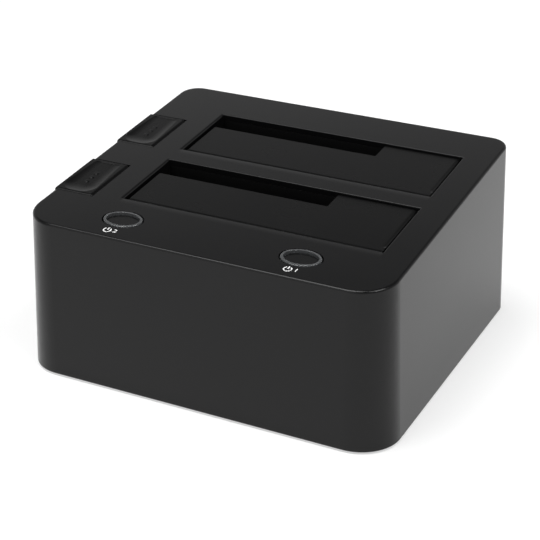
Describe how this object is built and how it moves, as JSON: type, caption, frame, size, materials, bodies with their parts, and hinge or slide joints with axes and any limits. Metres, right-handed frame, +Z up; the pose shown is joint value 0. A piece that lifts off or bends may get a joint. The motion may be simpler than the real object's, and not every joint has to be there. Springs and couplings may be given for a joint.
{
  "type": "drive duplicator",
  "caption": "Desktop dock and duplicator that takes hard drives on end under sprung flaps, with eject buttons at the side and lit power buttons on a sloping top.",
  "frame": {"origin": "centre of the footprint, on the feet's underside", "axes": "+X to the right along the front, +Y to the back with the ports, +Z up"},
  "size_m": [0.148, 0.131, 0.0715],
  "materials": {
    "black_plastic": "satin black moulded plastic",
    "black_inner": "plain black moulded plastic",
    "clear_grey": "translucent grey light guide",
    "button_black": "smooth black moulded plastic",
    "rubber": "matt black rubber",
    "steel": "bright zinc plated steel",
    "spring_steel": "drawn spring wire",
    "board_green": "green solder mask",
    "port_blue": "blue connector plastic",
    "port_steel": "formed nickel plated sheet",
    "contact_gold": "gold flashed contact",
    "switch_black": "black switch plastic",
    "lamp_white": "milky lamp body",
    "can_aluminium": "plain can with a sleeve",
    "ferrite": "grey ferrite",
    "header_white": "natural nylon",
    "cable_grey": "grey ribbon cable"
  },
  "bodies": {
    "chassis": {"top_housing": "black_plastic", "base_cover": "black_plastic", "rubber_feet": "rubber", "base_screws": "steel", "board_screws": "steel", "bay_screws": "steel", "button_board_screws": "steel", "main_board": "board_green", "button_board": "board_green", "tact_switches": "switch_black", "status_leds": "lamp_white", "usb_port_shell": "port_steel", "usb_port_core": "port_blue", "dc_jack": "switch_black", "dc_jack_pin": "steel", "clone_switch": "switch_black", "bridge_chips": "switch_black", "capacitors": "can_aluminium", "inductors": "ferrite", "cable_headers": "header_white", "button_cable": "cable_grey", "front_bay_well": "black_inner", "front_flap_rod": "steel", "front_eject_pin": "steel", "front_eject_spring": "spring_steel", "front_sata_connector": "black_inner", "front_sata_contacts": "contact_gold", "rear_bay_well": "black_inner", "rear_flap_rod": "steel", "rear_eject_pin": "steel", "rear_eject_spring": "spring_steel", "rear_sata_connector": "black_inner", "rear_sata_contacts": "contact_gold", "light_ring_1": "clear_grey", "light_ring_2": "clear_grey"},
    "front_flap_body": {"front_flap": "black_plastic", "front_flap_spring": "spring_steel"},
    "front_eject_button_body": {"front_eject_button": "black_plastic"},
    "front_eject_lever_body": {"front_eject_lever": "black_inner"},
    "rear_flap_body": {"rear_flap": "black_plastic", "rear_flap_spring": "spring_steel"},
    "rear_eject_button_body": {"rear_eject_button": "black_plastic"},
    "rear_eject_lever_body": {"rear_eject_lever": "black_inner"},
    "power_button_1_body": {"power_button_1": "button_black", "switch_plunger_1": "header_white"},
    "power_button_2_body": {"power_button_2": "button_black", "switch_plunger_2": "header_white"},
    "clone_button_body": {"clone_button": "button_black", "clone_plunger": "header_white"}
  },
  "joints": [
    {"name": "front_flap_hinge", "type": "hinge", "parent": "chassis", "child": "front_flap_body", "pos_m": [0, -0.03365, 0.06078], "axis": [-1, 0, 0], "range_deg": [0, 92], "stiffness_Nm_per_rad": 0.004, "springref_deg": -34.38},
    {"name": "front_eject_press", "type": "slide", "parent": "chassis", "child": "front_eject_button_body", "axis": [0, 0, -1], "range_m": [0, 0.0053], "stiffness_N_per_m": 300, "springref_m": -0.006, "deforming": ["front_eject_spring"]},
    {"name": "front_eject_rock", "type": "hinge", "parent": "chassis", "child": "front_eject_lever_body", "pos_m": [-0.051, -0.0165, 0.01935], "axis": [0, -1, 0], "range_deg": [0, 26.1]},
    {"name": "rear_flap_hinge", "type": "hinge", "parent": "chassis", "child": "rear_flap_body", "pos_m": [0, 0.0107, 0.06415], "axis": [-1, 0, 0], "range_deg": [0, 92], "stiffness_Nm_per_rad": 0.004, "springref_deg": -34.38},
    {"name": "rear_eject_press", "type": "slide", "parent": "chassis", "child": "rear_eject_button_body", "axis": [0, 0, -1], "range_m": [0, 0.0053], "stiffness_N_per_m": 300, "springref_m": -0.006, "deforming": ["rear_eject_spring"]},
    {"name": "rear_eject_rock", "type": "hinge", "parent": "chassis", "child": "rear_eject_lever_body", "pos_m": [-0.051, 0.02785, 0.01935], "axis": [0, -1, 0], "range_deg": [0, 26.1]},
    {"name": "power_1_press", "type": "slide", "parent": "chassis", "child": "power_button_1_body", "axis": [0, 0, -1], "range_m": [0, 0.0008], "stiffness_N_per_m": 1200, "springref_m": -0.0006},
    {"name": "power_2_press", "type": "slide", "parent": "chassis", "child": "power_button_2_body", "axis": [0, 0, -1], "range_m": [0, 0.0008], "stiffness_N_per_m": 1200, "springref_m": -0.0006},
    {"name": "clone_press", "type": "slide", "parent": "chassis", "child": "clone_button_body", "axis": [0, -1, 0], "range_m": [0, 0.0008], "stiffness_N_per_m": 1200, "springref_m": -0.0006}
  ],
  "couplings": [
    {"joint": "front_eject_rock", "follows": "front_eject_press", "rad_per_m": 85.62},
    {"joint": "rear_eject_rock", "follows": "rear_eject_press", "rad_per_m": 85.62}
  ]
}
